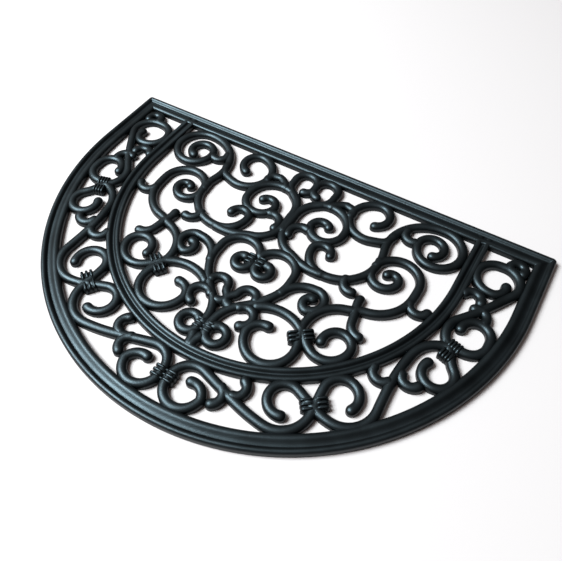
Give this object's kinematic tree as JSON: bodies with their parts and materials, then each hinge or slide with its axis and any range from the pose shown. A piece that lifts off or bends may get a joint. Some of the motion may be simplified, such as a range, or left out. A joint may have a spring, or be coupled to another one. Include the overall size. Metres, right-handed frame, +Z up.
{
  "type": "half moon scrollwork rubber doormat",
  "caption": "Half moon doormat of open scrollwork inside a moulded border, one flat rubber body that lies on the floor.",
  "frame": {"origin": "on the floor under the middle of the mat's bounding box", "axes": "+X along the straight edge, +Y from the round edge towards the straight edge, +Z up from the underside"},
  "size_m": [0.9138, 0.6162, 0.015],
  "materials": {
    "rubber": "satin moulded black rubber"
  },
  "bodies": {
    "root": {"half_moon_mat": "rubber"}
  },
  "joints": []
}
